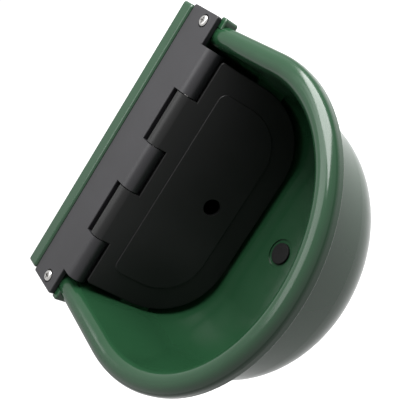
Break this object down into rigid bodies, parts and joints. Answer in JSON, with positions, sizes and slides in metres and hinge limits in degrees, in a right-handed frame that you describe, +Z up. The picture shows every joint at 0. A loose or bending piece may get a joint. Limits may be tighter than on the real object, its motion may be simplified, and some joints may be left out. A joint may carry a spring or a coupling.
{
  "type": "livestock drinking bowl",
  "caption": "Wall-mounted moulded drinking bowl whose hinged cover hangs in front of a float valve that refills it.",
  "frame": {"origin": "midway between the two wall bolt holes, on the face that meets the wall", "axes": "+Z up, +Y into the wall, X along the wall; the bowl reaches out along -Y"},
  "size_m": [0.261, 0.2623, 0.1441],
  "materials": {
    "bowl_green": "glossy moulded plastic, dark green",
    "hinge_black": "satin black moulded plastic",
    "cover_black": "matt black moulded plastic",
    "stainless": "bright stainless steel",
    "plug_rubber": "dark rubber",
    "seal_rubber": "black rubber",
    "valve_plastic": "off-white acetal",
    "brass": "turned brass",
    "strainer_plastic": "natural nylon",
    "piston_plastic": "white acetal",
    "arm_plastic": "black glass-filled nylon",
    "float_foam": "closed-cell white float"
  },
  "bodies": {
    "base": {"bowl": "bowl_green", "hinge_plate": "hinge_black", "hinge_pin": "stainless", "plate_screws": "stainless", "valve_body": "valve_plastic", "inlet_seal": "seal_rubber", "inlet_washer": "stainless", "inlet_nut": "brass", "inlet_strainer": "strainer_plastic", "valve_nozzle": "brass", "pivot_pin": "stainless", "pivot_clips": "stainless"},
    "cover": {"cover_flap": "cover_black"},
    "arm": {"float_arm": "arm_plastic", "float": "float_foam", "float_bolt": "stainless", "float_nut": "stainless"},
    "piston": {"valve_piston": "piston_plastic", "piston_rubber": "seal_rubber"},
    "plug": {"drain_plug": "plug_rubber"}
  },
  "joints": [
    {"name": "cover_hinge", "type": "hinge", "parent": "base", "child": "cover", "pos_m": [0, -0.058, 0.0196], "axis": [-1, 0, 0], "range_deg": [0, 135]},
    {"name": "float_arm_pivot", "type": "hinge", "parent": "base", "child": "arm", "pos_m": [-0.0185, -0.037, -0.008], "axis": [0, -1, 0], "range_deg": [0, 16]},
    {"name": "piston_slide", "type": "slide", "parent": "base", "child": "piston", "axis": [0, 0, 1], "range_m": [-0.0048, 0]},
    {"name": "plug_pull", "type": "slide", "parent": "base", "child": "plug", "axis": [0, 0, 1], "range_m": [0, 0.025]}
  ],
  "couplings": [
    {"joint": "piston_slide", "follows": "float_arm_pivot", "m_per_rad": -0.017}
  ]
}
